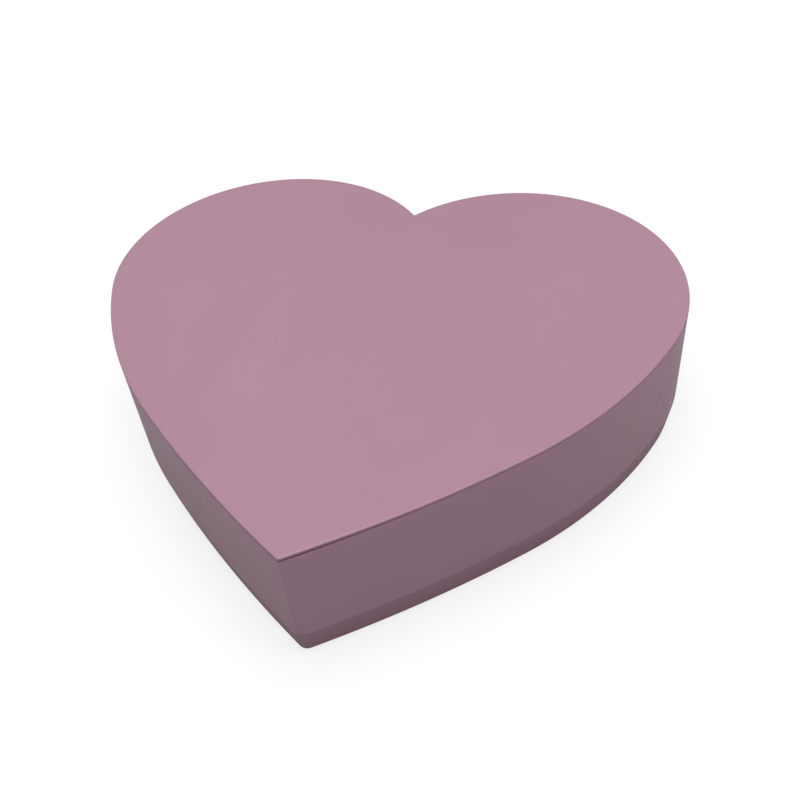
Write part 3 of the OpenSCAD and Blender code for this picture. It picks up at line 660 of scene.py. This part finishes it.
def plinth_band():
    """Tapered foot of the case with a rounded tip and lower edge, and the lip inside it."""
    z0, top = heights("plinth_rim")
    z1 = heights("side_wall")[0]
    edge, arris, inner = 0.7, 0.15, 0.3
    slope = PLINTH_TAPER / (z1 - z0)
    profile = [(PLINTH_W, z0 + inner), (PLINTH_W - inner, z0)]
    profile += reversed(quarter(PLINTH_TAPER + edge * 0.9, z0 + edge, edge, 180.0, 6))
    profile += [(slope * (z1 - z), z) for z in (z0 + 2.5, z0 + 4.5, z0 + 6.5, z1 - arris)]
    profile += [(arris, z1), (LIP_INSET, z1), (LIP_INSET, top - 0.2), (LIP_INSET + 0.2, top)]
    profile += [(PLINTH_W - inner, top), (PLINTH_W, top - inner)]
    bm = bmesh.new()
    rings = loft(bm, profile, lambda z: PLINTH_TIP)
    bridge(bm, rings[-1], rings[0])
    piece = new_object("plinth_band", bm)
    holes = bmesh.new()
    for side in (-1, 1):
        for direction in BASE_SCREW_DIRS:
            spot = rim_point(direction, WALL_T + BASE_SCREW_INSET)
            add_counterbore(holes, Vector((side * spot.x, spot.y)), z0 - 1.0, 4.0, top + 1.0)
    cut(piece, holes)
    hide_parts("plinth_rim")
    # The foot gets the darker plinth lacquer, whose tone is painted shade.
    return dressed(piece, "plinth_lacquer", "case")


def add_counterbore(bm, spot, z0, z1, z2, wide=2.0, narrow=1.1, segments=24):
    """Stepped upright cutter: wide below, narrow above."""
    rings = []
    for z, radius in ((z0, wide), (z1, wide), (z1, narrow), (z2, narrow)):
        points = []
        for i in range(segments):
            angle = 2 * math.pi * i / segments
            x, y = spot.x + radius * math.cos(angle), spot.y + radius * math.sin(angle)
            points.append(to_model(x, y, z))
        rings.append(add_ring(bm, points))
    for low, high in zip(rings, rings[1:]):
        bridge(bm, low, high)
    bm.faces.new(list(reversed(rings[0])))
    bm.faces.new(rings[-1])


# ---------- Lid ----------


def ease(value):
    """Smooth step from 0 to 1."""
    value = min(max(value, 0.0), 1.0)
    return value * value * (3.0 - 2.0 * value)


def settle(x, y, z):
    """Lid height: full at the tip and the hinges, lowest over the right flank, where the felt has sunk."""
    front = ease((y - TIP_Y - 2.0) / 24.0)
    back = ease((y + 30.0) / 70.0)
    side = LEFT_SINK + (1.0 - LEFT_SINK) * ease((x + 30.0) / 60.0)
    return z - SINK * front * (1.0 - back) * side


def lid_top():
    """Lacquered top panel with softened edges; its underside is flat over the inner board."""
    z0, z1 = heights("lid_panel")
    top, low = 0.34, 0.15
    profile = [(4.5, z0), (3.0, z0), (1.0, z0)]
    profile += reversed(quarter(low, z0 + low, low, 180.0, 3))
    profile += reversed(quarter(top, z1 - top, top, 90.0, 5))
    profile += [(0.9, z1), (1.8, z1)]
    bm = bmesh.new()
    rings = loft(bm, profile, lambda z: LID_TIP, settle)
    for vertex in rings[0]:
        vertex.co.z = z0 * MM
    cap(bm, rings[0], 4.5, LID_TIP, z0)
    cap(bm, rings[-1], 1.8, LID_TIP, z1, settle)
    piece = new_object("lid_top", bm)
    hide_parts("lid_panel")
    return dressed(piece, "lid_lacquer", "lid")


# ---------- Soft pieces ----------


def within(spot, ring):
    """Whether a point lies inside a closed path."""
    hit = False
    for i, a in enumerate(ring):
        b = ring[i - 1]
        if (a.y > spot.y) != (b.y > spot.y):
            if spot.x < a.x + (spot.y - a.y) * (b.x - a.x) / (b.y - a.y):
                hit = not hit
    return hit


def inner_points(edge, tree, grid):
    """Points of a triangular grid inside a closed path, none of them close to it."""
    left, right = min(p.x for p in edge), max(p.x for p in edge)
    front, back = min(p.y for p in edge), max(p.y for p in edge)
    inside = []
    for i in range(int((right - left) / grid) + 1):
        for k in range(int((back - front) / grid) + 1):
            spot = Vector((left + grid * (i + 0.5 * (k % 2)), front + grid * k))
            away = tree.find((spot.x, spot.y, 0.0))[2]
            if away > 0.7 * grid and within(spot, edge):
                inside.append(spot)
    return inside


def floor_cushion():
    """Padded velvet floor: rounded at its edge, crowned and a little uneven in the middle."""
    z0, z1 = heights("floor_pad")
    low, round_w, crown, grid = 1.4, 5.0, 0.7, 1.6
    edge = spaced(compartment(PAD_GAP), grid)
    tree = kdtree.KDTree(len(edge))
    for i, p in enumerate(edge):
        tree.insert((p.x, p.y, 0.0), i)
    tree.balance()
    count = len(edge)
    loop = [(i, (i + 1) % count) for i in range(count)]
    made = geometry.delaunay_2d_cdt(edge + inner_points(edge, tree, grid), loop, [], 1, 1e-5)
    bm = bmesh.new()
    top = []
    for p in made[0]:
        away = tree.find((p.x, p.y, 0.0))[2]
        rim = math.sqrt(1.0 - (1.0 - min(away / round_w, 1.0)) ** 2)
        dent = noise.noise((p.x * 0.06, p.y * 0.06, 3.0)) * 0.35 * ease(away / 12.0)
        height = low + (z1 - z0 - low) * rim + crown * ease(away / 26.0) + dent
        top.append(bm.verts.new(to_model(p.x, p.y, z0 + height)))
    for face in made[2]:
        bm.faces.new([top[i] for i in face])
    rim_edges = [e for e in bm.edges if e.is_boundary]
    wall = bmesh.ops.extrude_edge_only(bm, edges=rim_edges)
    foot = [v for v in wall["geom"] if isinstance(v, bmesh.types.BMVert)]
    for vertex in foot:
        vertex.co.z = z0 * MM
    bmesh.ops.contextual_create(bm, geom=[e for e in bm.edges if e.is_boundary])
    piece = new_object("floor_cushion", bm, 70.0)
    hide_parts("floor_pad")
    return dressed(piece, "velvet_pad", "case")


def wall_cloth():
    """Velvet-covered card along the walls, its cloth rolled over the top edge."""
    z0, z1 = heights("wall_lining")
    base = 0.1
    path = spaced(compartment(base), 2.0)
    steps = inward(path)
    thick = LINING_T - 2 * base
    roll = thick / 2
    profile = [(thick, z0), (0.0, z0), (0.0, z0 + 8.0)]
    profile += reversed(quarter(roll, z1 - roll, roll, 90.0, 4))
    profile += list(reversed(quarter(roll, z1 - roll, roll, 0.0, 4)))[1:]
    profile += [(thick, z1 - 1.4), (thick, z0 + 8.0)]
    bm = bmesh.new()
    rings = []
    for inset, z in profile:
        ring = []
        for i, p in enumerate(path):
            spot = p + steps[i] * inset
            ring.append(to_model(spot.x, spot.y, z))
        rings.append(add_ring(bm, ring))
    for low, high in zip(rings, rings[1:] + rings[:1]):
        bridge(bm, low, high)
    piece = new_object("wall_cloth", bm, 50.0)
    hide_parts("wall_lining")
    return dressed(piece, "velvet_lining", "case")


def lid_cloth():
    """Velvet frame round the mirror, puffed a little on its lower face."""
    z0, z1 = heights("lid_lining")
    puff, soft = 0.22, 0.3
    outer = outline(LID_LINING_INSET)
    shift = Vector((0.0, MIRROR_SHIFT))
    inner = [p + shift for p in outline(MIRROR_LIP, MIRROR_TIP, MIRROR_SCALE)]
    profile = [(0.0, z1), (0.0, z0 + soft), (0.02, z0 + 0.08)]
    for i in range(1, 10):
        share = i / 10
        profile.append((share, z0 - puff * math.sin(math.pi * share) ** 0.6))
    profile += [(0.98, z0 + 0.08), (1.0, z0 + soft), (1.0, z1)]
    bm = bmesh.new()
    rings = []
    for share, z in profile:
        points = [a.lerp(b, share) for a, b in zip(outer, inner)]
        rings.append(add_ring(bm, [to_model(p.x, p.y, z) for p in points]))
    for low, high in zip(rings, rings[1:] + rings[:1]):
        bridge(bm, low, high)
    piece = new_object("lid_cloth", bm, 50.0)
    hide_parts("lid_lining")
    return dressed(piece, "velvet_lining", "lid")


def cover_sheet():
    """Copy of the clear cover whose lower face stands just clear of the boards under it."""
    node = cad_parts["movement_cover"]
    mesh = node.data.copy()
    mesh.transform(node.matrix_world)
    low = heights("movement_cover")[0]
    for vertex in mesh.vertices:
        if vertex.co.z < (low + COVER_GAP) * MM:
            vertex.co.z = (low + COVER_GAP) * MM
    piece = bpy.data.objects.new("cover_sheet", mesh)
    bpy.context.scene.collection.objects.link(piece)
    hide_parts("movement_cover")
    return dressed(piece, "clear_cover", "case")


def felt_dots():
    """Felt dots on the wall's top, each pressed down to the lid above it."""
    z0, z1 = heights("lid_rest_pads")
    radius, soft = 1.6, 0.12
    bm = bmesh.new()
    for side in (-1, 1):
        for direction in REST_PAD_DIRS:
            p = rim_point(direction, WALL_T / 2)
            top = settle(side * p.x, p.y, z1)
            rings = []
            for shrink, z in ((0.0, z0), (0.0, top - soft), (soft, top)):
                ring = arc(Vector((side * p.x, p.y)), radius - shrink, 0.0, 2 * math.pi, 28)
                rings.append(add_ring(bm, [to_model(q.x, q.y, z) for q in ring]))
            bridge(bm, rings[0], rings[1])
            bridge(bm, rings[1], rings[2])
            bm.faces.new(rings[0])
            bm.faces.new(rings[2])
    piece = new_object("felt_dots", bm)
    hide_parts("lid_rest_pads")
    return dressed(piece, "felt", "case")


# ---------- Stage ----------


def floor_paper():
    """Pale paper: bright to the eye, and a dimmer bounce on the box's walls."""
    n = Nodes("floor_paper")
    n.tree.nodes.remove(n.shader)
    shade = n.noise(3.0, 2.0)
    bright = n.tree.nodes.new("ShaderNodeBsdfDiffuse")
    n.link(n.mix(shade, rgba("fdfdfd"), rgba("fafafa")), bright.inputs["Color"])
    glow = n.tree.nodes.new("ShaderNodeEmission")
    glow.inputs["Strength"].default_value = 1.06
    seen = n.tree.nodes.new("ShaderNodeMixShader")
    seen.inputs[0].default_value = 0.72
    n.link(bright.outputs[0], seen.inputs[1])
    n.link(glow.outputs[0], seen.inputs[2])
    dim = n.tree.nodes.new("ShaderNodeBsdfDiffuse")
    dim.inputs["Color"].default_value = (0.43, 0.43, 0.43, 1.0)
    ray = n.tree.nodes.new("ShaderNodeLightPath")
    both = n.tree.nodes.new("ShaderNodeMixShader")
    n.link(ray.outputs["Is Camera Ray"], both.inputs[0])
    n.link(dim.outputs[0], both.inputs[1])
    n.link(seen.outputs[0], both.inputs[2])
    output = next(node for node in n.tree.nodes if node.type == "OUTPUT_MATERIAL")
    n.link(both.outputs[0], output.inputs["Surface"])
    return n.material


def floor():
    """Large pale sheet under the box."""
    bm = bmesh.new()
    bmesh.ops.create_grid(bm, x_segments=1, y_segments=1, size=6.0)
    piece = new_object("floor", bm)
    piece.location.z = -FLOOR_GAP * MM
    piece.data.materials.append(floor_paper())


def softbox(name, spot, aim, width, height, power):
    light = bpy.data.lights.new(name, "AREA")
    light.shape = "RECTANGLE"
    light.size = width
    light.size_y = height
    light.energy = power
    lamp = bpy.data.objects.new(name, light)
    lamp.location = spot
    lamp.rotation_euler = (Vector(aim) - Vector(spot)).to_track_quat("-Z", "Y").to_euler()
    bpy.context.scene.collection.objects.link(lamp)


def studio():
    """Even white surround, a large soft light overhead and two weak ones at the sides."""
    scene = bpy.context.scene
    world = bpy.data.worlds.new("studio")
    world.use_nodes = True
    shade = world.node_tree.nodes["Background"]
    shade.inputs["Color"].default_value = (1.0, 1.0, 1.0, 1.0)
    shade.inputs["Strength"].default_value = 0.42
    scene.world = world
    scene.view_settings.view_transform = "Standard"
    softbox("overhead", (0.0, 0.1, 1.6), (0.0, 0.0, 0.0), 1.0, 1.0, 15.2)
    softbox("right", (1.2, 0.0, 0.5), (0.05, 0.0, 0.02), 0.8, 0.6, 1.6)
    softbox("left", (-1.1, -0.5, 0.5), (-0.05, 0.0, 0.02), 0.8, 0.6, 0.6)


def camera():
    """Camera at the angle of the view: fitted azimuth, elevation and roll."""
    azimuth, elevation, roll = (math.radians(v) for v in CAMERA_TURN)
    back = Vector((
        math.sin(azimuth) * math.cos(elevation),
        -math.cos(azimuth) * math.cos(elevation),
        math.sin(elevation),
    ))
    right = Vector((math.cos(azimuth), math.sin(azimuth), 0.0))
    up = back.cross(right)
    turned_right = right * math.cos(roll) + up * math.sin(roll)
    turned_up = up * math.cos(roll) - right * math.sin(roll)
    x, y, above = CAMERA_PLACE
    place = to_model(x, y, heights("lid_panel")[1] + above)
    data = bpy.data.cameras.new("camera")
    data.sensor_width = 36.0
    data.lens = CAMERA_LENS
    data.clip_start = 0.01
    eye = bpy.data.objects.new("camera", data)
    axes = Matrix((turned_right, turned_up, back)).transposed().to_4x4()
    eye.matrix_world = Matrix.Translation(place) @ axes
    bpy.context.scene.collection.objects.link(eye)
    bpy.context.scene.camera = eye


camera()
finish_nodes()
wall_shell()
plinth_band()
lid_top()
floor_cushion()
wall_cloth()
lid_cloth()
cover_sheet()
felt_dots()
floor()
studio()
